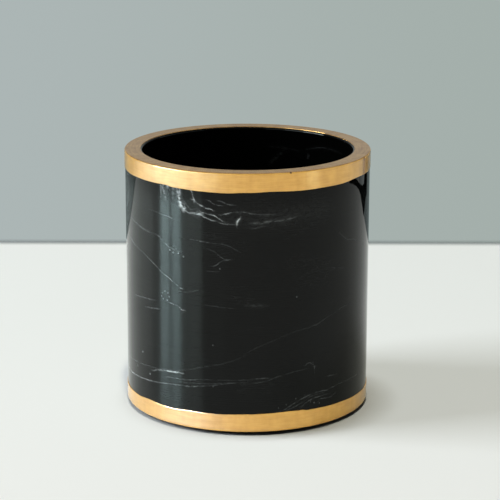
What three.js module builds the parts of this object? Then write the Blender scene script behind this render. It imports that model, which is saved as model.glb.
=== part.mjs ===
// Pen holder for a desk: a round cup cast in one piece from black marbled resin and polished, with a
// brushed gold layer over its rim and round its foot, and a foam pad stuck under its base.
// Millimetres, +Z up. The origin is the middle of the pad's underside, on the desk.

import * as THREE from "three";

// The cup
const cupDiameter = 85;
const cupHeight = 89;
const wallThickness = 6; // at the mouth
const boreDraft = 0.6; // the bore's radius is smaller by this much where it meets the floor's corner
const floorThickness = 7;
const floorCornerRadius = 3;
const rimOuterEdgeRadius = 0.3;
const rimInnerEdgeRadius = 0.6;
const footEdgeRadius = 0.3;

// The gold layer, which follows the cup's surface
const goldThickness = 0.2;
const rimBandHeight = 6.1; // down the outside from the cup's top
const footBandHeight = 6.1; // up the outside from the cup's base
const footTurnUnder = 1.3; // how far the gold runs in under the base from the foot's rounded edge

// The self-adhesive pad
const padInset = 4.5; // from the cup's outside to the pad's edge
const foamThickness = 1.3;
const adhesiveThickness = 0.2;

// Facets: segments round the axis, and the steps that each rounded edge takes
const roundSegments = 96;
const edgeSteps = 3;
const floorCornerSteps = 6;

// Levels above the desk
const baseZ = foamThickness + adhesiveThickness;
const floorZ = baseZ + floorThickness;
const rimZ = baseZ + cupHeight;
const rimBandZ = rimZ - rimBandHeight;
const footBandZ = baseZ + footBandHeight;

// Radii
const cupRadius = cupDiameter / 2;
const mouthRadius = cupRadius - wallThickness;
const boreFootRadius = mouthRadius - boreDraft;
const goldRimInnerRadius = mouthRadius + rimInnerEdgeRadius; // the gold stops where the bore's edge begins
const goldFootInnerRadius = cupRadius - footEdgeRadius - footTurnUnder;
const padRadius = cupRadius - padInset;

// A point of a half section: its distance from the axis, and its height.
function at(radius, height) {
  return new THREE.Vector2(radius, height);
}

// The points of a round between two angles, in degrees, measured from straight out towards straight up.
function round(centre, radius, fromAngle, toAngle, steps = edgeSteps) {
  return Array.from({ length: steps + 1 }, (_, i) => {
    const angle = THREE.MathUtils.degToRad(fromAngle + ((toAngle - fromAngle) * i) / steps);
    return at(centre.x + radius * Math.cos(angle), centre.y + radius * Math.sin(angle));
  });
}

// Turns a half section about the vertical axis. The section runs up its outside and down its inside.
function turned(name, section, material) {
  const geometry = new THREE.LatheGeometry(section, roundSegments);
  geometry.rotateX(Math.PI / 2);
  const mesh = new THREE.Mesh(geometry, material);
  mesh.name = name;
  return mesh;
}

// Centres of the three outer edge rounds, which the cup and the gold over it share.
const footEdgeCentre = at(cupRadius - footEdgeRadius, baseZ + footEdgeRadius);
const rimOuterEdgeCentre = at(cupRadius - rimOuterEdgeRadius, rimZ - rimOuterEdgeRadius);
const rimInnerEdgeCentre = at(mouthRadius + rimInnerEdgeRadius, rimZ - rimInnerEdgeRadius);

// The cup: wall and floor in one casting, bored with a little draft and a rounded floor corner.
function cupBody() {
  const floorCornerCentre = at(boreFootRadius - floorCornerRadius, floorZ + floorCornerRadius);
  const section = [
    at(0, baseZ),
    at(goldFootInnerRadius, baseZ),
    ...round(footEdgeCentre, footEdgeRadius, -90, 0),
    at(cupRadius, footBandZ),
    at(cupRadius, rimBandZ),
    ...round(rimOuterEdgeCentre, rimOuterEdgeRadius, 0, 90),
    ...round(rimInnerEdgeCentre, rimInnerEdgeRadius, 90, 180),
    ...round(floorCornerCentre, floorCornerRadius, 0, -90, floorCornerSteps),
    at(0, floorZ),
  ];
  const blackResin = new THREE.MeshStandardMaterial({ color: 0x1c1d1b, roughness: 0.12, metalness: 0 });
  return turned("cup_body", section, blackResin);
}

const brushedGold = new THREE.MeshStandardMaterial({ color: 0xd2a35c, roughness: 0.35, metalness: 1 });

// The gold over the rim: down the outside, round the outer edge and across the flat top.
function rimGilding() {
  const section = [
    at(cupRadius + goldThickness, rimBandZ),
    ...round(rimOuterEdgeCentre, rimOuterEdgeRadius + goldThickness, 0, 90),
    at(goldRimInnerRadius, rimZ + goldThickness),
    at(goldRimInnerRadius, rimZ),
    ...round(rimOuterEdgeCentre, rimOuterEdgeRadius, 90, 0),
    at(cupRadius, rimBandZ),
    at(cupRadius + goldThickness, rimBandZ),
  ];
  return turned("rim_gilding", section, brushedGold.clone());
}

// The gold round the foot: down the outside, round the lower edge and a little way under the base.
function footGilding() {
  const section = [
    at(goldFootInnerRadius, baseZ - goldThickness),
    ...round(footEdgeCentre, footEdgeRadius + goldThickness, -90, 0),
    at(cupRadius + goldThickness, footBandZ),
    at(cupRadius, footBandZ),
    ...round(footEdgeCentre, footEdgeRadius, 0, -90),
    at(goldFootInnerRadius, baseZ),
    at(goldFootInnerRadius, baseZ - goldThickness),
  ];
  return turned("foot_gilding", section, brushedGold.clone());
}

// One flat layer of the die-cut pad.
function padLayer(name, lowerZ, upperZ, material) {
  return turned(name, [at(0, lowerZ), at(padRadius, lowerZ), at(padRadius, upperZ), at(0, upperZ)], material);
}

const clearAdhesive = new THREE.MeshStandardMaterial({ color: 0xe8e4d8, roughness: 0.5, metalness: 0 });
const blackFoam = new THREE.MeshStandardMaterial({ color: 0x1b1b1c, roughness: 0.9, metalness: 0 });

const penHolder = new THREE.Group();
penHolder.add(cupBody());
penHolder.add(rimGilding());
penHolder.add(footGilding());
penHolder.add(padLayer("pad_adhesive", foamThickness, baseZ, clearAdhesive));
penHolder.add(padLayer("foam_pad", 0, foamThickness, blackFoam));

export default penHolder;
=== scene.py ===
import math

import bpy
from mathutils import Euler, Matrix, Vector, noise


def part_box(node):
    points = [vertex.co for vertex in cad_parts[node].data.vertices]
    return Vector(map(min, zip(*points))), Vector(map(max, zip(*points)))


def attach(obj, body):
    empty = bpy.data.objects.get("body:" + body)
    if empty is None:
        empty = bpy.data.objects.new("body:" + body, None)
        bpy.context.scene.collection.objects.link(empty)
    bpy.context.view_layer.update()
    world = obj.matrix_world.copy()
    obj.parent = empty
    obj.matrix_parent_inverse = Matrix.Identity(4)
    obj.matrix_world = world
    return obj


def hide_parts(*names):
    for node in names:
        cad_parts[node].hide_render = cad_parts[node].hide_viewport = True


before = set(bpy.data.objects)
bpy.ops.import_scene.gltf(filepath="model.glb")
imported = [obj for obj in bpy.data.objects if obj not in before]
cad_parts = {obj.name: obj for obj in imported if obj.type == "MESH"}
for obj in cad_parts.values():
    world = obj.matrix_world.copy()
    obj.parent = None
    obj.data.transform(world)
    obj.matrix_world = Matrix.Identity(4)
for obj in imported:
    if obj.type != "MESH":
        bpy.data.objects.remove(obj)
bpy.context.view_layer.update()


# The viewing place. A long lens looks slightly down on the holder from the front, far enough away that
# the cup's sides stay almost parallel.

MM = 0.001
EYE_DISTANCE = 667.1 * MM
EYE_HEIGHT = 229.8 * MM
LOOK_DOWN = math.radians(14.784)
LOOK_ASIDE = math.radians(-0.080)
LEAN = math.radians(0.147)
LENS_LENGTH = 141.14  # millimetres, as is the sensor's width
SENSOR_WIDTH = 36

lens = bpy.data.cameras.new("view_lens")
lens.lens = LENS_LENGTH
lens.sensor_width = SENSOR_WIDTH
eye = bpy.data.objects.new("view_camera", lens)
eye.location = (0, -EYE_DISTANCE, EYE_HEIGHT)
aim = Euler((math.radians(90) - LOOK_DOWN, 0, LOOK_ASIDE)).to_matrix()
eye.rotation_euler = (aim @ Euler((0, 0, LEAN)).to_matrix()).to_euler()
bpy.context.scene.collection.objects.link(eye)
bpy.context.scene.camera = eye
bpy.context.scene.view_settings.view_transform = "Standard"


# The cup. One casting of black resin with white marbling: a straight round wall and a floor, turned and
# polished round the axis, which leaves fine rings in the gloss.

CUP_RADIUS = 42.5 * MM
CUP_HEIGHT = 89 * MM
WALL = 6 * MM
BORE_DRAFT = 0.6 * MM
FLOOR = 7 * MM
FLOOR_CORNER = 3 * MM
RIM_OUTER_EDGE = 0.3 * MM
RIM_INNER_EDGE = 0.6 * MM
FOOT_EDGE = 0.3 * MM
FOOT_TURN_UNDER = 1.3 * MM

BASE_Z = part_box("cup_body")[0].z
RIM_Z = BASE_Z + CUP_HEIGHT
FLOOR_Z = BASE_Z + FLOOR
MOUTH_RADIUS = CUP_RADIUS - WALL
BORE_FOOT_RADIUS = MOUTH_RADIUS - BORE_DRAFT

RING_SEGMENTS = 480
EDGE_STEPS = 8
WALL_STEP = 2 * MM
FLAT_STEP = 8 * MM
BESIDE_EDGE = 0.1 * MM
SHARP_EDGE = math.radians(50)


def arc(centre, radius, start, end, steps=EDGE_STEPS):
    """Points (radius, height) of a round between two angles in degrees, from straight out towards up."""
    turns = [math.radians(start + (end - start) * i / steps) for i in range(steps + 1)]
    return [(centre[0] + radius * math.cos(t), centre[1] + radius * math.sin(t)) for t in turns]


def line(start, end, step=WALL_STEP):
    """Points strictly between two points, close to both ends and then a step apart."""
    length = math.dist(start, end)
    near = min(BESIDE_EDGE, length / 4)
    count = max(1, round(length / step))
    places = sorted({near, length - near} | {length * i / count for i in range(1, count)})
    return [tuple(a + (b - a) * p / length for a, b in zip(start, end)) for p in places]


def turned(name, section_at, closed, segments=RING_SEGMENTS):
    """A mesh object whose section, which section_at gives for an angle, goes once round the axis. An open
    section starts and ends on the axis."""
    sections = [section_at(math.tau * i / segments) for i in range(segments)]
    count = len(sections[0])
    points, rows = [], []
    for i, section in enumerate(sections):
        angle = math.tau * i / segments
        row = []
        for j, (radius, height) in enumerate(section):
            on_axis = not closed and j in (0, count - 1)
            if on_axis and i:
                row.append(rows[0][j])
                continue
            row.append(len(points))
            points.append((radius * math.sin(angle), -radius * math.cos(angle), height))
        rows.append(row)
    faces = []
    for i in range(segments):
        here, there = rows[i], rows[(i + 1) % segments]
        for j in range(count if closed else count - 1):
            k = (j + 1) % count
            corners = dict.fromkeys((here[j], there[j], there[k], here[k]))
            faces.append(tuple(corners))
    mesh = bpy.data.meshes.new(name)
    mesh.from_pydata(points, [], faces)
    mesh.update()
    mesh.shade_smooth()
    mesh.set_sharp_from_angle(angle=SHARP_EDGE)
    piece = bpy.data.objects.new(name, mesh)
    bpy.context.scene.collection.objects.link(piece)
    return piece


def dressed(piece, material, node):
    """Gives a piece its material, and puts it in its solid's place on the frame."""
    piece.data.materials.append(material)
    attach(piece, "root")
    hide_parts(node)
    return piece


class Signal:
    """A socket in a shader. Arithmetic on signals adds Math nodes; node() adds any other node."""

    def __init__(self, tree, socket):
        self.tree, self.socket = tree, socket

    def node(self, kind, settings=None, inputs=None, output=0):
        """One output of a new node, whose settings are made first and whose sockets are filled next."""
        made = self.tree.nodes.new(kind)
        for key, value in (settings or {}).items():
            if key == "curves":
                for curve, places in zip(made.mapping.curves, value):
                    for place in places[2:]:
                        curve.points.new(*place)
                    for point, place in zip(curve.points, places):
                        point.location = place
                        point.handle_type = "AUTO_CLAMPED"
                made.mapping.extend = "HORIZONTAL"
                made.mapping.update()
            else:
                setattr(made, key, value)
        for key, value in (inputs or {}).items():
            if isinstance(value, Signal):
                self.tree.links.new(value.socket, made.inputs[key])
            else:
                made.inputs[key].default_value = value
        return Signal(self.tree, made.outputs[output])

    def maths(self, operation, *others):
        return self.node("ShaderNodeMath", {"operation": operation}, dict(enumerate((self, *others))))

    def __add__(self, other):
        return self.maths("ADD", other)

    def __sub__(self, other):
        return self.maths("SUBTRACT", other)

    def __mul__(self, other):
        return self.maths("MULTIPLY", other)

    def __truediv__(self, other):
        return self.maths("DIVIDE", other)

    def __pow__(self, other):
        return self.maths("POWER", other)

    def __rsub__(self, other):
        return self.node("ShaderNodeMath", {"operation": "SUBTRACT"}, {0: other, 1: self})

    def __rtruediv__(self, other):
        return self.node("ShaderNodeMath", {"operation": "DIVIDE"}, {0: other, 1: self})

    def __abs__(self):
        return self.maths("ABSOLUTE")

    __radd__ = __add__
    __rmul__ = __mul__

    def ramp(self, low, high, start=0.0, end=1.0):
        """Goes smoothly from start to end while this signal goes from low to high."""
        span = {"Value": self, "From Min": low, "From Max": high, "To Min": start, "To Max": end}
        return self.node("ShaderNodeMapRange", {"interpolation_type": "SMOOTHSTEP"}, span)

    def times(self, factors):
        """This vector with its three parts scaled."""
        return self.node("ShaderNodeVectorMath", {"operation": "MULTIPLY"}, {0: self, 1: factors})

    def noise(self, scale, detail=2.0, roughness=0.5):
        """A cloudy pattern around 0.5 at this place."""
        grain = {"Vector": self, "Scale": scale, "Detail": detail, "Roughness": roughness}
        return self.node("ShaderNodeTexNoise", {}, grain)

    def parts(self):
        """The three parts of this vector."""
        first = self.node("ShaderNodeSeparateXYZ", {}, {0: self})
        return [Signal(self.tree, socket) for socket in first.socket.node.outputs]

    def away_from(self, place):
        """How far this vector is from a place."""
        return self.node("ShaderNodeVectorMath", {"operation": "DISTANCE"}, {0: self, 1: place}, "Value")

    def mixed(self, low, high):
        """A colour between two, by this signal."""
        blend = {"Factor": self, "A": low, "B": high}
        return self.node("ShaderNodeMix", {"data_type": "RGBA"}, blend, "Result")

    def bumped(self, distance, strength=1.0):
        """A surface normal raised and lowered by this signal."""
        return self.node("ShaderNodeBump", {}, {"Height": self, "Distance": distance, "Strength": strength})


def new_material(name, constants):
    """A material, its Principled shader with the constant sockets set, and the place in millimetres."""
    material = bpy.data.materials.new(name)
    material.use_nodes = True
    tree = material.node_tree
    tree.nodes.clear()
    shader = new_shader(tree, constants)
    out = tree.nodes.new("ShaderNodeOutputMaterial")
    tree.links.new(shader.outputs[0], out.inputs["Surface"])
    metres = Signal(tree, tree.nodes.new("ShaderNodeTexCoord").outputs["Object"])
    return material, shader, metres.times((1 / MM, 1 / MM, 1 / MM))


def new_shader(tree, constants):
    """A Principled shader with its constant sockets set."""
    shader = tree.nodes.new("ShaderNodeBsdfPrincipled")
    for key, value in constants.items():
        shader.inputs[key].default_value = value
    return shader


def feed(shader, **signals):
    """Links signals to a shader's sockets, named with underscores for spaces."""
    for name, signal in signals.items():
        signal.tree.links.new(signal.socket, shader.inputs[name.replace("_", " ")])


def cup_section(_angle):
    outer_low = (CUP_RADIUS, BASE_Z + FOOT_EDGE)
    outer_high = (CUP_RADIUS, RIM_Z - RIM_OUTER_EDGE)
    mouth = (MOUTH_RADIUS, RIM_Z - RIM_INNER_EDGE)
    bore_foot = (BORE_FOOT_RADIUS, FLOOR_Z + FLOOR_CORNER)
    return [
        (0, BASE_Z),
        *line((0, BASE_Z), (CUP_RADIUS - FOOT_EDGE, BASE_Z), FLAT_STEP),
        *arc((CUP_RADIUS - FOOT_EDGE, BASE_Z + FOOT_EDGE), FOOT_EDGE, -90, 0),
        *line(outer_low, outer_high),
        *arc((CUP_RADIUS - RIM_OUTER_EDGE, RIM_Z - RIM_OUTER_EDGE), RIM_OUTER_EDGE, 0, 90),
        *arc((MOUTH_RADIUS + RIM_INNER_EDGE, RIM_Z - RIM_INNER_EDGE), RIM_INNER_EDGE, 90, 180),
        *line(mouth, bore_foot),
        *arc((BORE_FOOT_RADIUS - FLOOR_CORNER, FLOOR_Z + FLOOR_CORNER), FLOOR_CORNER, 0, -90),
        *line((BORE_FOOT_RADIUS - FLOOR_CORNER, FLOOR_Z), (0, FLOOR_Z), FLAT_STEP),
        (0, FLOOR_Z),
    ]


# The marbling runs round the wall in long drawn threads: each has a width and a course of places in
# millimetres, (round the wall from the front, above the table, strength). A standing thread's course is
# listed the other way about.

UPPER_SWIRL = [
    (0.30, [(-22.6, 78.3, 0.7), (-22.0, 77.6, 0.5), (-20.8, 76.8, 0.30), (-19.7, 76.3, 0.26),
            (-18.6, 76.4, 0.28), (-17.3, 76.3, 0.4)]),
    (0.80, [(-18.4, 76.3, 0.1), (-17.2, 76.3, 0.4), (-16.4, 76.4, 0.45), (-15.4, 76.4, 0.2)]),
    (0.16, [(-21.8, 80.3, 0.05), (-20.2, 78.4, 0.1), (-19.1, 77.6, 0.1), (-17.5, 77.8, 0.06)]),
    (0.18, [(-16.0, 77.1, 0.25), (-13.5, 76.6, 0.2), (-11.5, 76.4, 0.35), (-10.3, 76.0, 0.75),
            (-9.6, 75.4, 0.35), (-8.4, 74.7, 0.4), (-7.6, 74.4, 0.1)]),
    (0.18, [(-15.5, 75.9, 0.25), (-14.5, 75.3, 0.45), (-13.2, 75.0, 0.4), (-11.5, 74.5, 0.28),
            (-10.1, 74.3, 0.12), (-8.6, 73.8, 0.2), (-4, 73.6, 0.05)]),
    (0.18, [(-18.3, 81.0, 0.25), (-17.5, 80.1, 0.32), (-16.2, 79.4, 0.4), (-15.0, 79.0, 0.42),
            (-13.5, 78.5, 0.36), (-12.0, 78.3, 0.45), (-11.2, 77.9, 0.15)]),
    (0.16, [(-13.4, 81.4, 0.06), (-12.6, 81.2, 0.14), (-11.1, 80.3, 0.08), (-8.8, 79.8, 0.08)]),
    (0.15, [(-8.8, 81.4, 0.08), (-7.2, 80.6, 0.12), (-5.1, 79.9, 0.1)]),
    (0.18, [(-8.6, 76.7, 0.12), (-7.6, 77.0, 0.32), (-6.4, 77.2, 0.36), (-5.1, 77.5, 0.3),
            (-1.6, 77.8, 0.17), (1.4, 77.2, 0.1), (8, 76.8, 0.04)]),
    (4.00, [(-10, 75.6, 0.004), (0, 76, 0.009), (10, 75.6, 0.014), (20, 76.5, 0.012), (29, 78, 0.004)]),
    (0.42, [(1.8, 74.1, 0.07), (4.2, 74.1, 0.12), (6.5, 74.5, 0.12), (8.7, 74.5, 0.09), (12.8, 74.8, 0.09),
            (17, 75.4, 0.03)]),
    (0.28, [(0.8, 72.3, 0.02), (2.6, 72.5, 0.06), (4.5, 72.9, 0.04)]),
]
LEFT_DRIFT = [
    (0.14, [(-38, 75.0, 0.06), (-32.5, 74.5, 0.12), (-28.8, 74.0, 0.2), (-25.6, 73.3, 0.1)]),
    (0.30, [(-53, 69.4, 0.07), (-47, 68.3, 0.1), (-40.5, 67.2, 0.12), (-36, 66.9, 0.06),
            (-32.4, 66.5, 0.06)]),
    (0.24, [(-32.4, 66.5, 0.05), (-30.6, 64.9, 0.06), (-28.6, 63.7, 0.12), (-26, 62.9, 0.12),
            (-23.7, 62.4, 0.08)]),
    (0.16, [(-55.5, 62.6, 0.2), (-48, 60.4, 0.22), (-42.3, 59.1, 0.12), (-37, 57.1, 0.22),
            (-32.6, 54.8, 0.16), (-29, 53.0, 0.22), (-26.2, 51.6, 0.18), (-23.6, 50.1, 0.2)]),
    (0.24, [(-23.5, 48.6, 0.02), (-20.6, 49.2, 0.06), (-16.6, 50.2, 0.05)]),
]
MIDDLE_MARKS = [
    (0.15, [(-22.7, 67.2, 0.04), (-18.5, 67.3, 0.06), (-16.2, 67.2, 0.15), (-12, 67.0, 0.05),
            (-7.9, 66.6, 0.06), (-3.7, 64.8, 0.04), (-2.2, 64.0, 0.02)]),
    (0.18, [(-14, 65.0, 0.02), (-11.2, 64.2, 0.06), (-9.3, 62.8, 0.1), (-6.7, 61.5, 0.07),
            (-5.2, 61.6, 0.03)]),
    (0.18, [(-11.3, 59.0, 0.05), (-10.4, 59.4, 0.1), (-8.8, 60.8, 0.1), (-6.9, 61.5, 0.06)]),
    (0.17, [(-13.6, 56.9, 0.03), (-11.6, 57.1, 0.06), (-10.4, 57.3, 0.03)]),
    (0.20, [(-48, 42.5, 0.1), (-44, 43.1, 0.17), (-38.5, 43.5, 0.12), (-35, 43.8, 0.05)]),
    (0.24, [(-39.8, 40.3, 0.05), (-37.5, 40.6, 0.1), (-35.4, 40.8, 0.12), (-33.4, 41.0, 0.06)]),
    (0.22, [(-29, 44.4, 0.06), (-26.3, 44.1, 0.2), (-24.2, 43.4, 0.2), (-22.8, 42.4, 0.3)]),
    (0.15, [(-13.6, 45.4, 0.03), (-9.5, 45.0, 0.04), (-5.4, 44.7, 0.03)]),
    (0.70, [(0, 45.7, 0.01), (3.2, 45.8, 0.03), (6.4, 45.6, 0.01)]),
    (0.20, [(34.8, 67.6, 0.02), (37.4, 65.4, 0.05), (39.6, 64.2, 0.05), (43, 63.4, 0.04), (48, 61.2, 0.04),
            (56, 59, 0.03)]),
    (0.20, [(29, 56.2, 0.01), (33.5, 55.4, 0.03), (38, 54.6, 0.02)]),
]
LOWER_LINES = [
    (0.24, [(-36.5, 18.2, 0.1), (-33.5, 19.3, 0.25), (-30.6, 19.7, 0.5), (-28.5, 19.9, 0.75),
            (-25.8, 20.1, 0.8), (-23.4, 20.3, 0.4)]),
    (0.17, [(-57, 13.0, 0.45), (-50, 13.3, 0.42), (-44.7, 13.7, 0.36), (-34, 14.7, 0.3),
            (-26.6, 15.4, 0.21), (-19.5, 16.1, 0.15), (-12.3, 17.3, 0.07), (-2.4, 18.8, 0.05),
            (3.3, 18.9, 0.04), (5.7, 19.4, 0.05), (12.2, 21.0, 0.04), (20, 22.2, 0.03)]),
    (0.13, [(-31, 17.2, 0.05), (-27, 17.8, 0.2), (-22.1, 18.1, 0.14), (-14.6, 19.1, 0.06), (-6, 19.6, 0.05),
            (2, 20.0, 0.04)]),
    (0.20, [(2, 20.1, 0.04), (4.6, 20.4, 0.14), (6.4, 20.6, 0.08)]),
    (0.14, [(-24, 16.9, 0.04), (-17, 17.5, 0.06), (-8, 18.4, 0.05), (0, 19.2, 0.02)]),
    (0.17, [(20.2, 23.4, 0.03), (21.8, 24.1, 0.09), (23.1, 23.7, 0.1), (23.9, 22.6, 0.06)]),
    (0.18, [(29, 18.0, 0.02), (30.8, 18.0, 0.08), (33.2, 17.8, 0.03)]),
    (0.22, [(-56, 17.6, 0.07), (-48.7, 18.3, 0.08), (-37.9, 19.4, 0.05), (-33, 19.7, 0.03),
            (-21.4, 21.7, 0.03), (-15.2, 23.5, 0.04), (-7.1, 25.6, 0.025), (5.4, 32.1, 0.02),
            (12.1, 34.5, 0.02), (21.7, 36.8, 0.02), (25.4, 37.5, 0.045), (28.7, 38.8, 0.02),
            (36.4, 40.8, 0.02), (46, 42, 0.02)]),
    (0.22, [(10.8, 8.2, 0.05), (12.3, 8.7, 0.07), (16.7, 10.7, 0.1), (23, 12.7, 0.08), (26, 13, 0.06),
            (29.2, 13.1, 0.08), (36, 14.0, 0.05), (43.6, 13.9, 0.06), (50, 14.6, 0.05)]),
    (0.18, [(19, 8.9, 0.06), (21.5, 10.4, 0.1), (24.4, 11.1, 0.1), (30, 11.6, 0.04)]),
    (0.18, [(14, 8.6, 0.04), (16.4, 9.4, 0.09), (19.6, 10.6, 0.05), (22.5, 11.9, 0.06), (27, 12.4, 0.04)]),
    (0.16, [(25.3, 9.4, 0.03), (27.2, 10.4, 0.09), (30.5, 10.2, 0.05), (33, 10.9, 0.03)]),
]
STANDING_THREADS = [
    (0.52, [(77.8, -22.4, 0.35), (78.4, -22.7, 0.85), (79.2, -23.2, 1.05), (80.3, -23.6, 1.0),
            (81.4, -23.9, 0.5)]),
    (0.40, [(77.7, -22.0, 0.4), (78.2, -21.5, 0.5), (78.8, -21.8, 0.2)]),
    (0.70, [(81.9, -24.3, 0.12), (82.8, -24.4, 0.3), (84.2, -24.7, 0.25)]),
    (0.45, [(82.0, -23.6, 0.15), (82.9, -23.5, 0.3), (84.2, -23.8, 0.25)]),
    (0.22, [(80.9, -18.2, 0.25), (82.1, -18.7, 0.18), (83.4, -19.0, 0.2), (84.4, -19.8, 0.35)]),
    (0.50, [(80.5, -29.6, 0.12), (81.9, -30.1, 0.28), (83.2, -30.6, 0.4), (84.3, -30.8, 0.6)]),
    (0.60, [(83.4, -28.6, 0.05), (84.3, -28.6, 0.25)]),
    (0.40, [(80.4, -31.7, 0.08), (84.2, -31.8, 0.12)]),
    (0.60, [(80.8, -26.4, 0.06), (83.4, -26.3, 0.14)]),
    (0.28, [(73.9, -3.4, 0.5), (74.7, -3.2, 1.1), (75.4, -2.6, 0.8), (76, -2.2, 0.15)]),
    (0.16, [(21.4, 24.1, 0.04), (22.4, 24.2, 0.08), (23.2, 23.6, 0.08)]),
]
GRAINS = [
    (0.45, 0.3, [(-42.9, 23.5), (-46.9, 17.2), (-38.2, 16.7)]),
    (0.40, 0.14, [(-11.5, 31.6), (-11.4, 17.0), (17.1, 48.1), (-9.1, 58.3)]),
    (0.35, 0.3, [(-27.9, 62.6), (-26.3, 64.2), (-25.2, 63.3), (-26.4, 61.8), (-24.3, 61.9),
            (-22.4, 61.0)]),
    (0.35, 0.3, [(-31.6, 47.3), (-30.2, 48.0), (-28.8, 47.6), (-28.2, 46.3), (-29.1, 45.0), (-31.0, 45.2),
            (-31.9, 46.1)]),
    (0.40, 0.1, [(10.6, 9.6), (13.4, 10.6), (16.9, 12.2), (22.5, 10.1), (24.0, 9.6), (26.2, 9.1),
            (20.3, 12.9)]),
]
SIDE_THREADS = [
    (0.28, [(58, 52, 0.14), (68, 56, 0.32), (80, 57, 0.36), (94, 61, 0.27), (106, 68, 0.23),
            (118, 71, 0.14)]),
    (0.19, [(60, 48, 0.09), (74, 51, 0.23), (88, 52, 0.27), (101, 57, 0.18)]),
    (0.24, [(64, 24, 0.14), (76, 21, 0.32), (90, 22, 0.36), (104, 27, 0.27), (120, 29, 0.18)]),
    (0.18, [(70, 76, 0.14), (84, 79, 0.23), (99, 77, 0.27), (112, 78, 0.14)]),
    (0.22, [(96, 41, 0.14), (106, 38, 0.32), (119, 39, 0.27), (129, 42, 0.18)]),
    (0.27, [(-128, 64, 0.14), (-116, 67, 0.32), (-103, 66, 0.41), (-90, 71, 0.32), (-76, 72, 0.23),
            (-62, 69, 0.14)]),
    (0.18, [(-124, 60, 0.09), (-109, 62, 0.23), (-95, 63, 0.18), (-82, 67, 0.14)]),
    (0.24, [(-126, 31, 0.14), (-112, 27, 0.27), (-97, 28, 0.36), (-84, 24, 0.27), (-70, 16, 0.23),
            (-58, 13.2, 0.23)]),
    (0.19, [(-104, 45, 0.14), (-93, 49, 0.27), (-80, 48, 0.23), (-68, 43, 0.14)]),
    (0.16, [(-119, 15, 0.09), (-103, 17, 0.23), (-90, 15, 0.23), (-79, 12, 0.14)]),
]
BORE_THREADS = [
    (0.80, [(7.8, 77.0, 0.2), (9.8, 78.8, 0.6), (12.4, 81.0, 0.5), (14.0, 82.6, 0.15)]),
    (0.45, [(6, 83.6, 0.1), (12, 83.4, 0.3), (19, 82.8, 0.2)]),
    (0.40, [(23.6, 83.9, 0.4), (27, 84.9, 0.7), (33, 85.6, 0.5), (41, 85.4, 0.3)]),
    (0.60, [(46, 82, 0.3), (50, 84.6, 2.5), (54, 87.4, 1.5)]),
    (0.30, [(-41, 70, 0.2), (-28, 74, 0.5), (-14, 72, 0.4), (-2, 68, 0.2)]),
    (0.35, [(52, 62, 0.3), (66, 58, 0.6), (80, 60, 0.5), (96, 54, 0.3)]),
    (0.30, [(-96, 48, 0.2), (-80, 53, 0.5), (-62, 50, 0.6), (-47, 44, 0.2)]),
]
BORE_GRAINS = (1.0, 0.8, [(23.9, 80.8), (24.0, 81.8)])
THREAD_FADE = 1.6  # millimetres past both ends
THREAD_MARGIN = 1
STEEPEST = 10  # keeps a steep course's reach within a curve's range


def thread(along, across, width, course):
    """A drawn thread: full on its middle line, fading to both sides and at both ends."""
    first, last = course[0][0] - THREAD_FADE, course[-1][0] + THREAD_FADE
    low = min(point[1] for point in course) - THREAD_MARGIN
    high = max(point[1] for point in course) + THREAD_MARGIN
    middles, strengths, reaches = [], [(-1, 0)], []
    for before, here, after in zip([course[0], *course], course, [*course[1:], course[-1]]):
        place = 2 * (here[0] - first) / (last - first) - 1
        slope = (after[1] - before[1]) / (after[0] - before[0])
        middles.append((place, 2 * (here[1] - low) / (high - low) - 1))
        strengths.append((place, here[2]))
        reaches.append((place, math.hypot(1, slope) / STEEPEST))
    strengths.append((1, 0))
    span = {"Value": along, "From Min": first, "From Max": last, "To Min": -1.0, "To Max": 1.0}
    place = along.node("ShaderNodeMapRange", {}, span)
    curves = {"curves": [middles, strengths, reaches]}
    middle, strength, reach = place.node("ShaderNodeVectorCurve", curves, {"Vector": place}).parts()
    offset = (across - (middle * ((high - low) / 2) + (high + low) / 2)) / (reach * STEEPEST * width)
    return strength * (offset * offset + 1) ** -2


def grains(around, height, radius, strength, places):
    """Small soft spots at the given places."""
    spot = around.node("ShaderNodeCombineXYZ", {}, {0: around, 1: height})
    total = 0
    for place in places:
        total = spot.away_from((*place, 0)).ramp(radius, 0.2 * radius, 0.0, strength) + total
    return total


ROUND_THE_AXIS = 0.25  # the quarter turn that lays brush and turning marks round the axis
CLEAR_GLOSS = {"Coat Weight": 1.0, "Coat Roughness": 0.02, "Coat IOR": 1.25}
BLACK = (0.0012, 0.0014, 0.0012, 1)
WHITE = (0.78, 0.85, 0.86, 1)
WITHIN_WALL = (38.5, 40.0)  # radii in millimetres where the bore's marbling gives way to the outside's
BORE_FAINTNESS = 0.015
WISP_STRENGTH = 0.02
DRIFT_UP, DRIFT_ROUND, RAGGEDNESS = 1.0, 1.2, 0.5  # millimetres that the drawn threads stray by
SHEEN_GREY = (0.022, 0.024, 0.023, 1)
SHEEN_SHARE = 0.15
SHEEN_RISE = (83.5, 77.0)  # heights in millimetres over which the sheen comes in below the gold


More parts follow.
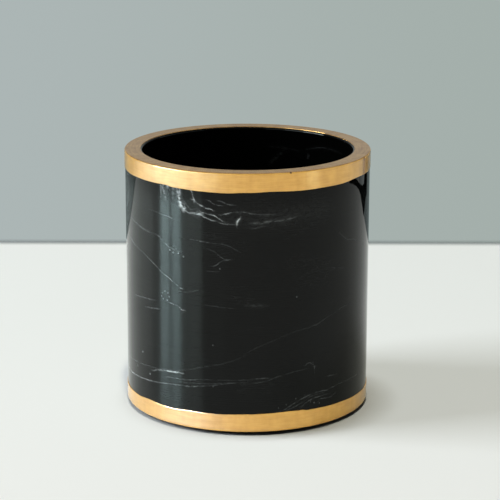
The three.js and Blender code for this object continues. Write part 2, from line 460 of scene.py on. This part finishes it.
def marbled_resin():
    """Polished resin: a clear gloss over black, and outside a faint sheen drawn out by the turning marks."""
    material, resin, place = new_material("marbled_resin", {"Specular IOR Level": 0.0, **CLEAR_GLOSS})
    turned_sheen = new_shader(
        material.node_tree,
        {
            "Base Color": SHEEN_GREY,
            "Specular Tint": (0.5, 0.5, 0.5, 1),
            "Metallic": 1.0,
            "Anisotropic": 1.0,
            "Anisotropic Rotation": ROUND_THE_AXIS,
            **CLEAR_GLOSS,
        },
    )
    x, y, z = place.parts()
    radius = (x * x + y * y) ** 0.5
    drift = place.node("ShaderNodeTexNoise", {}, {"Vector": place, "Scale": 0.11, "Detail": 3.0}, "Color")
    drift_round, drift_up, _ = drift.parts()
    ragged = place.times((1, 1, 1.6)).noise(1.3, 2.0)
    height = z + (drift_up - 0.5) * DRIFT_UP + (ragged - 0.5) * RAGGEDNESS
    shift = (drift_round - 0.5) * DRIFT_ROUND
    around = x.maths("ARCTAN2", 0 - y) * (CUP_RADIUS / MM) + shift
    behind = x.maths("ARCTAN2", y) * (MOUTH_RADIUS / MM) + shift

    drawn = 0
    for width, course in UPPER_SWIRL + LEFT_DRIFT + MIDDLE_MARKS + LOWER_LINES + SIDE_THREADS:
        drawn = thread(around, height, width, course) + drawn
    for width, course in STANDING_THREADS:
        drawn = thread(height, around, width, course) + drawn
    for radius_of_grain, strength, places in GRAINS:
        drawn = grains(around, height, radius_of_grain, strength, places) + drawn
    within = 0
    for width, course in BORE_THREADS:
        within = thread(behind, height, width, course) + within
    within = grains(behind, height, *BORE_GRAINS) + within

    outside = radius.ramp(*WITHIN_WALL)
    drawn_out = place.times((1, 1, 9)).noise(0.14, 3.0, 0.5)
    cloudy = place.times((1, 1, 2)).noise(0.045, 2.0)
    wisps = abs(drawn_out - 0.5).ramp(0.03, 0.0) * cloudy.ramp(0.45, 0.75) * WISP_STRENGTH * outside
    broken = place.times((1, 1, 2.5)).noise(0.55, 4.0, 0.65).ramp(0.36, 0.62, 0.15, 1.5)
    white = (drawn * outside + within * (1 - outside) * BORE_FAINTNESS) * broken + wisps
    white = white.node("ShaderNodeClamp", {}, {"Value": white})
    rings = z.node("ShaderNodeCombineXYZ", {}, {0: radius * 4, 2: z * 4}).noise(1.0, 3.0, 0.6)
    dull = place.noise(0.4, 3.0)
    relief = (rings * outside * 0.1 + dull * (1 - outside)).bumped(0.00002, 0.3)
    feed(
        resin,
        Base_Color=white.mixed(BLACK, WHITE),
        Roughness=dull.ramp(0.3, 0.7, 0.4, 0.5),
        Normal=relief,
    )
    feed(turned_sheen, Roughness=rings.ramp(0.3, 0.7, 0.25, 0.28), Normal=relief)
    clear = Signal(material.node_tree, resin.outputs[0])
    sheen = Signal(material.node_tree, turned_sheen.outputs[0])
    share = outside * z.ramp(*SHEEN_RISE, 0.4, 1.0) * SHEEN_SHARE
    surface = clear.node("ShaderNodeMixShader", {}, {0: share, 1: clear, 2: sheen})
    out = material.node_tree.nodes["Material Output"]
    material.node_tree.links.new(surface.socket, out.inputs["Surface"])
    return material


cup = dressed(turned("marbled_cup", cup_section, closed=False), marbled_resin(), "cup_body")


# The gold over the rim. A layer brushed on round the cup: it covers the upper band of the wall, the outer
# edge and the flat top, and stops where the bore's edge begins. Its painted border wavers a little.

GOLD = 0.2 * MM
RIM_BAND = 6.1 * MM
RIM_BAND_Z = RIM_Z - RIM_BAND
GOLD_INNER_RADIUS = MOUTH_RADIUS + RIM_INNER_EDGE
LIP = 0.12 * MM
LIP_STEPS = 3
BAND_STEPS = 3
GOLD_SEGMENTS = 960
BRUSH_WAVER = 0.06 * MM
WAVES_ROUND = 9
RIM_BORDER = [
    (-76, 0.1), (-52, 0.2), (-40, 0.28), (-35, -0.1), (-22, -0.32), (-10, -0.4), (0, -0.14), (9, 0.1),
    (24, -0.15), (46, -0.12), (60, 0.32), (76, 0.25), (110, -0.1), (150, 0.12), (200, -0.15), (245, 0.1),
]
NICK_ANGLE = math.radians(19.5)
NICK_WIDTH = math.radians(0.6)
NICK_DEPTH = 0.19 * MM
NICK_PLACE = Vector((CUP_RADIUS * math.sin(NICK_ANGLE), -CUP_RADIUS * math.cos(NICK_ANGLE), RIM_Z)) / MM


def uneven(angle, seed):
    """A smooth stray between -1 and 1 that meets itself again once round the axis."""
    return noise.noise(Vector((WAVES_ROUND * math.sin(angle), WAVES_ROUND * math.cos(angle), seed)))


def wavering(places, angle, seed):
    """How far a painted border strays, by a course of (degrees to the right of the front, millimetres) and
    the small unevenness of the brush."""
    turn = (math.degrees(angle) - places[0][0]) % 360 + places[0][0]
    course = [*places, (places[0][0] + 360, places[0][1])]
    for (before, low), (after, high) in zip(course, course[1:]):
        if before <= turn <= after:
            share = (turn - before) / (after - before)
            stray = low + (high - low) * share * share * (3 - 2 * share)
    return stray * MM + BRUSH_WAVER * uneven(angle, seed)


def rim_gold_section(angle):
    border = RIM_BAND_Z + wavering(RIM_BORDER, angle, seed=1.7)
    edge = (CUP_RADIUS - RIM_OUTER_EDGE, RIM_Z - RIM_OUTER_EDGE)
    side, top = CUP_RADIUS + GOLD, RIM_Z + GOLD
    nick = NICK_DEPTH * math.exp(-(((angle - NICK_ANGLE) / NICK_WIDTH) ** 2))
    outer_round = [
        (edge[0] + (RIM_OUTER_EDGE + GOLD - nick * math.sin(2 * t)) * math.cos(t),
         edge[1] + (RIM_OUTER_EDGE + GOLD - nick * math.sin(2 * t)) * math.sin(t))
        for t in (math.radians(90) * i / EDGE_STEPS for i in range(EDGE_STEPS + 1))
    ]
    return [
        *arc((side - LIP, border + LIP), LIP, -90, 0, LIP_STEPS),
        *line((side, border + LIP), (side, edge[1]), (edge[1] - border - LIP) / BAND_STEPS),
        *outer_round,
        *line((edge[0], top), (GOLD_INNER_RADIUS + LIP, top)),
        *arc((GOLD_INNER_RADIUS + LIP, top - LIP), LIP, 90, 180, LIP_STEPS),
        (GOLD_INNER_RADIUS, RIM_Z),
        *arc(edge, RIM_OUTER_EDGE, 90, 0),
        (CUP_RADIUS, border),
    ]


SIDE_GOLD = ((0.64, 0.32, 0.035, 1), (0.92, 0.515, 0.095, 1))  # the brush strokes' darker and lighter tone
TOP_GOLD = ((0.46, 0.205, 0.06, 1), (0.93, 0.54, 0.205, 1))
# The first tone below is a painted dark reflection's, the next the chip's own
DARK_REFLECTION_TONE = (0.36, 0.16, 0.02, 1)
CHIP_TONE = (0.12, 0.06, 0.03, 1)
# Where the painted dark reflection runs down the upper band
DARK_REFLECTION_ANGLE = math.radians(68)
DARK_REFLECTION_WIDTH = 0.05  # radians to each side
RIM_COAT = 0.88


def brushed_gold(name, clear):
    """Satin gold paint under a thin clear coat; the flat top is barer metal."""
    material, shader, place = new_material(
        name,
        {
            "Anisotropic": 0.9,
            "Anisotropic Rotation": ROUND_THE_AXIS,
            "Coat Roughness": 0.36,
            "Coat IOR": 1.6,
        },
    )
    x, y, z = place.parts()
    radius = (x * x + y * y) ** 0.5
    across = z - radius  # runs on without a step from the wall over the edge to the flat top
    grain = z.node("ShaderNodeCombineXYZ", {}, {0: x * 0.14, 1: y * 0.14, 2: across * 1.8})
    brushed = grain.noise(1.0, 4.0, 0.65)
    stain = place.noise(0.28, 3.0, 0.6)
    flat = z.ramp((RIM_Z + GOLD) / MM - 0.25, (RIM_Z + GOLD) / MM - 0.02)
    turn = x.maths("ARCTAN2", 0 - y)
    strokes = turn.node("ShaderNodeCombineXYZ", {}, {0: turn * 16, 1: z * 0.05}).noise(1.0, 2.0)
    tone = brushed.ramp(0.3, 0.7) * 0.55 + stain.ramp(0.3, 0.7) * 0.25 + strokes.ramp(0.3, 0.7) * 0.2
    side_colour = tone.mixed(*SIDE_GOLD)
    # A painted dark reflection: a narrow upright streak on the upper band, darker and with less coat
    painted_dark_reflection = abs(turn - DARK_REFLECTION_ANGLE).ramp(DARK_REFLECTION_WIDTH, 0.0) * z.ramp(50, 60)  # on the upper band only
    side_colour = painted_dark_reflection.mixed(side_colour, DARK_REFLECTION_TONE)
    top_colour = tone.mixed(*TOP_GOLD)
    chip = place.away_from(NICK_PLACE).ramp(0.5, 0.25)
    feed(
        shader,
        Base_Color=chip.mixed(flat.mixed(side_colour, top_colour), CHIP_TONE),
        Metallic=brushed.ramp(0.3, 0.7, 0.12, 0.22) + flat * 0.72,
        Roughness=brushed.ramp(0.3, 0.7, 0.12, 0.16) + flat * 0.05,
        Coat_Weight=clear - flat * 0.85 - painted_dark_reflection * 0.6,
        Normal=(brushed * (1 - flat)).bumped(0.00003, 0.4),
    )
    return material


rim_gold = turned("rim_gold", rim_gold_section, closed=True, segments=GOLD_SEGMENTS)
dressed(rim_gold, brushed_gold("rim_brushed_gold", RIM_COAT), "rim_gilding")


# The gold round the foot, brushed on in the same way: it covers the lower band and the lower edge and runs
# in a little way under the base.

FOOT_BAND = 6.1 * MM
FOOT_BAND_Z = BASE_Z + FOOT_BAND
FOOT_BORDER = [
    (-76, -0.95), (-62, -0.85), (-52, -0.35), (-42, -0.6), (-35, -0.6), (-30, -0.25), (-12, -0.25),
    (0, 0.05), (20, 0.35), (26, 0.2), (29, -0.15), (46, -0.45), (60, -0.75), (76, -1.0), (110, -0.5),
    (160, -0.2), (215, -0.5), (250, -0.6),
]
GOLD_UNDER_RADIUS = CUP_RADIUS - FOOT_EDGE - FOOT_TURN_UNDER
FOOT_COAT = 0.75


def foot_gold_section(angle):
    border = FOOT_BAND_Z + wavering(FOOT_BORDER, angle, seed=5.3)
    edge = (CUP_RADIUS - FOOT_EDGE, BASE_Z + FOOT_EDGE)
    side, under = CUP_RADIUS + GOLD, BASE_Z - GOLD
    return [
        *arc((GOLD_UNDER_RADIUS + LIP, under + LIP), LIP, 180, 270, LIP_STEPS),
        *arc(edge, FOOT_EDGE + GOLD, -90, 0),
        *line((side, edge[1]), (side, border - LIP), (border - LIP - edge[1]) / BAND_STEPS),
        *arc((side - LIP, border - LIP), LIP, 0, 90, LIP_STEPS),
        (CUP_RADIUS, border),
        *arc(edge, FOOT_EDGE, 0, -90),
        (GOLD_UNDER_RADIUS, BASE_Z),
    ]


foot_gold = turned("foot_gold", foot_gold_section, closed=True, segments=GOLD_SEGMENTS)
dressed(foot_gold, brushed_gold("foot_brushed_gold", FOOT_COAT), "foot_gilding")
rim_gold.visible_diffuse = foot_gold.visible_diffuse = False  # keeps its warm light off the table


# The adhesive film that holds the pad: a thin milky layer, die-cut together with the foam, so its edge is
# a little uneven and slightly squeezed.

PAD_INSET = 4.5 * MM
PAD_RADIUS = CUP_RADIUS - PAD_INSET
FOAM = 1.3 * MM
CUT_UNEVENNESS = 0.12 * MM
PAD_SEGMENTS = 240
FILM_STEP = 9 * MM
FILM_EDGE_STEPS = 6
MILKY = ((0.72, 0.69, 0.61, 1), (0.84, 0.82, 0.75, 1))


def cut_edge(angle, seed):
    """The pad's radius where the die cut it, always inside the full radius."""
    return PAD_RADIUS - CUT_UNEVENNESS * (0.5 + 0.5 * uneven(angle, seed))


def film_section(angle):
    radius = cut_edge(angle, seed=2.1)
    middle, half = (FOAM + BASE_Z) / 2, (BASE_Z - FOAM) / 2
    return [
        (0, FOAM),
        *line((0, FOAM), (radius, FOAM), FILM_STEP),
        *arc((radius - half, middle), half, -90, 90, FILM_EDGE_STEPS),
        *line((radius, BASE_Z), (0, BASE_Z), FILM_STEP),
        (0, BASE_Z),
    ]


def milky_film():
    material, shader, place = new_material("milky_film", {"IOR": 1.45, "Specular IOR Level": 0.5})
    streaks = place.times((1, 0.2, 1)).noise(1.1, 3.0)
    feed(
        shader,
        Base_Color=streaks.ramp(0.35, 0.7).mixed(*MILKY),
        Roughness=streaks.ramp(0.3, 0.7, 0.32, 0.5),
        Normal=streaks.bumped(0.00003, 0.4),
    )
    return material


film = turned("pad_film", film_section, closed=False, segments=PAD_SEGMENTS)
dressed(film, milky_film(), "pad_adhesive")
film.visible_diffuse = False  # keeps its pale light out of the shadow under the foot


# The foam pad that the holder stands on: a disc of black closed-cell foam, with open cells on the cut edge.

FOAM_EDGE = 0.25 * MM
FOAM_EDGE_STEPS = 4
FOAM_FLAT_STEP = 6 * MM
FOAM_SIDE_STEP = 0.3 * MM
FOAM_BLACK = ((0.004, 0.004, 0.004, 1), (0.020, 0.020, 0.021, 1))


def foam_section(angle):
    radius = cut_edge(angle, seed=7.9)
    return [
        (0, 0),
        *line((0, 0), (radius - FOAM_EDGE, 0), FOAM_FLAT_STEP),
        *arc((radius - FOAM_EDGE, FOAM_EDGE), FOAM_EDGE, -90, 0, FOAM_EDGE_STEPS),
        *line((radius, FOAM_EDGE), (radius, FOAM), FOAM_SIDE_STEP),
        (radius, FOAM),
        *line((radius, FOAM), (0, FOAM), FOAM_FLAT_STEP),
        (0, FOAM),
    ]


def celled_foam():
    material, shader, place = new_material("celled_foam", {"IOR": 1.4, "Specular IOR Level": 0.3})
    cells = place.node("ShaderNodeTexVoronoi", {}, {"Vector": place, "Scale": 3.2}, "Distance")
    dust = place.noise(0.5, 3.0)
    feed(
        shader,
        Base_Color=cells.ramp(0.0, 0.7).mixed(*FOAM_BLACK),
        Roughness=dust.ramp(0.3, 0.7, 0.75, 0.95),
        Normal=cells.bumped(0.0001, 0.8),
    )
    return material


foam = turned("foam_disc", foam_section, closed=False, segments=PAD_SEGMENTS)
dressed(foam, celled_foam(), "foam_pad")


# The stage: a pale matt table whose far edge lies out of focus behind the holder. Nothing stands behind it
# but the room.

TABLE_BACK = 216.5  # the far edge, in millimetres behind the holder's axis
TABLE_FRONT = -3000.0
TABLE_SIDE = 3000.0
BEYOND_EDGE = 30  # how far the mesh runs on unseen, past the fading edge
# The far and near tints are a painted tint of the light: bluer at the back, warmer at the front
MATT_FAR = (0.815, 0.83, 0.805, 1)
MATT_NEAR = (0.83, 0.825, 0.80, 1)
# A painted glare and a painted shade, seen only in the gloss
MATT_PAINTED_GLARE = (0.97, 0.98, 0.95, 1)
MATT_PAINTED_SHADE = (0.60, 0.61, 0.56, 1)
EDGE_SHADE = (0.16, 0.18, 0.18, 1)

table_mesh = bpy.data.meshes.new("table_top")
table_ends = (TABLE_FRONT * MM, (TABLE_BACK + BEYOND_EDGE) * MM)
table_sides = (-TABLE_SIDE * MM, TABLE_SIDE * MM)
table_mesh.from_pydata([(x, y, 0) for y in table_ends for x in table_sides], [], [(0, 1, 3, 2)])
table = bpy.data.objects.new("table_top", table_mesh)
bpy.context.scene.collection.objects.link(table)
table_material, table_shader, table_place = new_material("pale_table", {"Specular IOR Level": 0.0})
table_x, table_y, _ = table_place.parts()
# Painted tint of the light, from the back to the front
near = table_y.ramp(150.0, -250.0)
matt = near.mixed(MATT_FAR, MATT_NEAR)
shaded = table_y.ramp(TABLE_BACK - 6, TABLE_BACK + 3)

# In the gloss only, the table is painted brighter at the far left, a painted glare of window light, and
# painted darker close to the cup at the right, a painted shadow.
in_the_gloss = table_x.node("ShaderNodeLightPath", {}, {}, "Is Glossy Ray")
painted_glare = in_the_gloss * table_x.ramp(-30, -70) * table_y.ramp(-30, 20)
matt = painted_glare.mixed(matt, MATT_PAINTED_GLARE)
from_axis = (table_x * table_x + table_y * table_y) ** 0.5
painted_shade = in_the_gloss * table_x.ramp(0, 60) * from_axis.ramp(150, 60)
matt = painted_shade.mixed(matt, MATT_PAINTED_SHADE)

mottle = table_place.noise(1.5, 3.0)
feed(
    table_shader,
    Base_Color=shaded.mixed(matt, EDGE_SHADE),
    Roughness=mottle.ramp(0.3, 0.7, 0.55, 0.65),
    Alpha=table_y.ramp(TABLE_BACK + 8, TABLE_BACK - 3),
    Normal=mottle.bumped(0.00002, 0.2),
)
table.data.materials.append(table_material)


# The room. The camera sees a plain grey-green wall; the holder mirrors a dimmer one behind the table and a
# dark room on the camera's side.

WALL_LEFT = (0.413, 0.468, 0.465, 1)
WALL_RIGHT = (0.371, 0.428, 0.405, 1)
AMBIENT = (0.03, 0.03, 0.03, 1)
MIRRORED_WALL = (0.37, 0.41, 0.40, 1)
MIRRORED_SIDES = (0.14, 0.15, 0.15, 1)
MIRRORED_ROOM = (0.12, 0.12, 0.12, 1)
MIRRORED_FLOOR = (0.19, 0.235, 0.23, 1)
MIRRORED_FLOOR_RIGHT = (0.5, 0.55, 0.54, 1)

room = bpy.data.worlds.new("room")
room.use_nodes = True
bpy.context.scene.world = room
tree = room.node_tree
tree.nodes.clear()
way = Signal(tree, tree.nodes.new("ShaderNodeTexCoord").outputs["Generated"])
way_x, way_y, way_z = way.parts()
wall = way_x.ramp(-0.16, 0.16).mixed(WALL_LEFT, WALL_RIGHT)
aside = abs(way_x).ramp(0.2, 0.5).mixed(MIRRORED_WALL, MIRRORED_SIDES)
above = way_y.ramp(-0.3, 0.3).mixed(MIRRORED_ROOM, aside)
below = way_x.ramp(0.52, 0.62).mixed(MIRRORED_FLOOR, MIRRORED_FLOOR_RIGHT)
mirrored = way_z.ramp(-0.06, 0.0).mixed(below, above)
seen = way.node("ShaderNodeLightPath", {}, {}, "Is Camera Ray")
glossed = way.node("ShaderNodeLightPath", {}, {}, "Is Glossy Ray")
colour = seen.mixed(glossed.mixed(AMBIENT, mirrored), wall)
glow = way.node("ShaderNodeBackground", {}, {"Color": colour, "Strength": 1.0})
tree.links.new(glow.socket, tree.nodes.new("ShaderNodeOutputWorld").inputs["Surface"])

# A dark sheet beyond the table's far right corner, out of the picture, that only the gloss shows: a painted
# dark reflection. The outline is in millimetres.

DARK_OUTLINE = [
    (381, 98), (360, 139), (335, 173), (311, 194), (286, 206), (249, 210), (214, 208), (209, 225),
    (210, 240), (208, 262), (194, 280), (365, 609), (460, 545), (267, 277), (263, 263), (276, 245),
    (297, 228), (323, 205), (341, 191), (368, 160), (392, 110),
]
DARK_LEVEL = 0.3

dark_mesh = bpy.data.meshes.new("dark_corner")
dark_corners = [(x * MM, y * MM, DARK_LEVEL * MM) for x, y in DARK_OUTLINE]
dark_mesh.from_pydata(dark_corners, [], [tuple(range(len(dark_corners)))])
dark_corner = bpy.data.objects.new("dark_corner", dark_mesh)
dark_corner.visible_camera = dark_corner.visible_diffuse = dark_corner.visible_shadow = False
bpy.context.scene.collection.objects.link(dark_corner)
dark_reflection_material, _, _ = new_material(
    "dark_reflection_sheet", {"Base Color": (0, 0, 0, 1), "Roughness": 1.0, "Specular IOR Level": 0.0}
)
dark_corner.data.materials.append(dark_reflection_material)


# The light: a tall window with a bar and a dimmer curtain at the left, and two lamps high overhead. The
# gloss, the matt surfaces, the turning marks and the gold each have lamps of their own for it.

DAYLIGHT = (0.88, 1.0, 0.99)
SHEEN_LIGHT = (0.74, 0.94, 1.0)
FILL_LIGHT = (1, 0.93, 0.85)
CEILING = 4.0
WINDOW_AWAY = 2.0
CLOSE_BY = 0.5  # lamps this close stand lower than the mouth, so the flat top doesn't mirror them

WINDOW_HEIGHTS = (0.4, 2.4)
PANE_HEIGHTS = (0.02, 0.8)
SHEEN_HEIGHTS = (0.005, 0.088)
FILL_HEIGHTS = (0.05, 0.9)
RIM_GLOW_HEIGHTS = (0.005, 0.075)
FOOT_GLOW_HEIGHTS = (0.18, 0.55)


def area_light(
    name, width, length, brightness, colour, place, turn=(0, 0, 0), in_gloss=True, on_matt=True, only_on=()
):
    """A flat lamp that the camera doesn't see. It can be kept to the gloss, to matt surfaces or to pieces."""
    light = bpy.data.lights.new(name, "AREA")
    light.shape = "RECTANGLE"
    light.size, light.size_y = width, length
    light.energy = brightness * width * length * math.pi
    light.color = colour
    stand = bpy.data.objects.new(name, light)
    stand.location = place
    stand.rotation_euler = turn
    stand.visible_camera = False
    stand.visible_glossy = in_gloss
    stand.visible_diffuse = on_matt
    if only_on:
        lit = bpy.data.collections.new(name)
        for piece in only_on:
            lit.objects.link(piece)
        stand.light_linking.receiver_collection = lit
    bpy.context.scene.collection.objects.link(stand)


def panel(name, azimuths, heights, brightness, colour, away=WINDOW_AWAY, **kept_to):
    """An upright lamp between two azimuths, in degrees from the camera's side towards the left."""
    middle = math.radians(sum(azimuths) / 2)
    width = 2 * away * math.tan(math.radians(azimuths[1] - azimuths[0]) / 2)
    place = (-math.sin(middle) * away, -math.cos(middle) * away, sum(heights) / 2)
    upright = (math.radians(90), 0, -middle)
    area_light(name, width, heights[1] - heights[0], brightness, colour, place, upright, **kept_to)


in_gloss_only = {"on_matt": False}
on_the_marks = {"away": CLOSE_BY, "on_matt": False, "only_on": (cup,)}
rim_glow = {"away": CLOSE_BY, "on_matt": False, "only_on": (rim_gold,)}
foot_glow = {"on_matt": False, "only_on": (foot_gold,)}
panel("window_light", (70, 100), WINDOW_HEIGHTS, 7.5, (0.95, 1.0, 1.08), in_gloss=False)
panel("window_far_pane", (79.4, 94.2), PANE_HEIGHTS, 25, DAYLIGHT, **in_gloss_only)
panel("window_near_pane", (65.6, 78.8), PANE_HEIGHTS, 26, DAYLIGHT, **in_gloss_only)
panel("curtain", (43, 65), PANE_HEIGHTS, 7, DAYLIGHT, **in_gloss_only)
panel("pale_wall", (20, 42), PANE_HEIGHTS, 2, DAYLIGHT, **in_gloss_only)
panel("right_wall", (-115, -50), PANE_HEIGHTS, 0.9, DAYLIGHT, **in_gloss_only)
panel("window_far_sheen", (73.5, 84), SHEEN_HEIGHTS, 240, SHEEN_LIGHT, **on_the_marks)
panel("window_near_sheen", (61.3, 71.0), SHEEN_HEIGHTS, 215, SHEEN_LIGHT, **on_the_marks)
panel("curtain_sheen", (40.5, 61.6), SHEEN_HEIGHTS, 36, DAYLIGHT, **on_the_marks)
panel("side_sheen", (94, 116), SHEEN_HEIGHTS, 47, DAYLIGHT, **on_the_marks)
panel("back_sheen", (116, 150), SHEEN_HEIGHTS, 70, DAYLIGHT, **on_the_marks)
panel("front_fill", (-40, 40), FILL_HEIGHTS, 1.5, FILL_LIGHT, in_gloss=False, only_on=(rim_gold, foot_gold))
panel("rim_fill", (-65, -5), FILL_HEIGHTS, 0.8, FILL_LIGHT, in_gloss=False, only_on=(rim_gold,))
panel("foot_fill", (-30, 50), FILL_HEIGHTS, 0.8, (1, 0.98, 1.05), in_gloss=False, only_on=(foot_gold,))
panel("rim_left_glow", (46, 90), RIM_GLOW_HEIGHTS, 3, (0.78, 1.45, 2.0), **rim_glow)
panel("rim_wide_glow", (26, 110), RIM_GLOW_HEIGHTS, 4, (0.78, 1.3, 1.8), **rim_glow)
panel("foot_left_glow", (38, 82), FOOT_GLOW_HEIGHTS, 180, (0.85, 1.05, 1.4), **foot_glow)
panel("rim_right_glow", (-66, -54), RIM_GLOW_HEIGHTS, 3, (0.9, 1.2, 1.2), **rim_glow)
area_light("long_lamp", 0.66, 0.27, 96.5, (0.94, 1, 1.03), (-0.158, 0.096, CEILING), in_gloss=False)
area_light("front_lamp", 0.13, 0.71, 190, (1.05, 1, 0.82), (0.116, -1.087, CEILING), in_gloss=False)
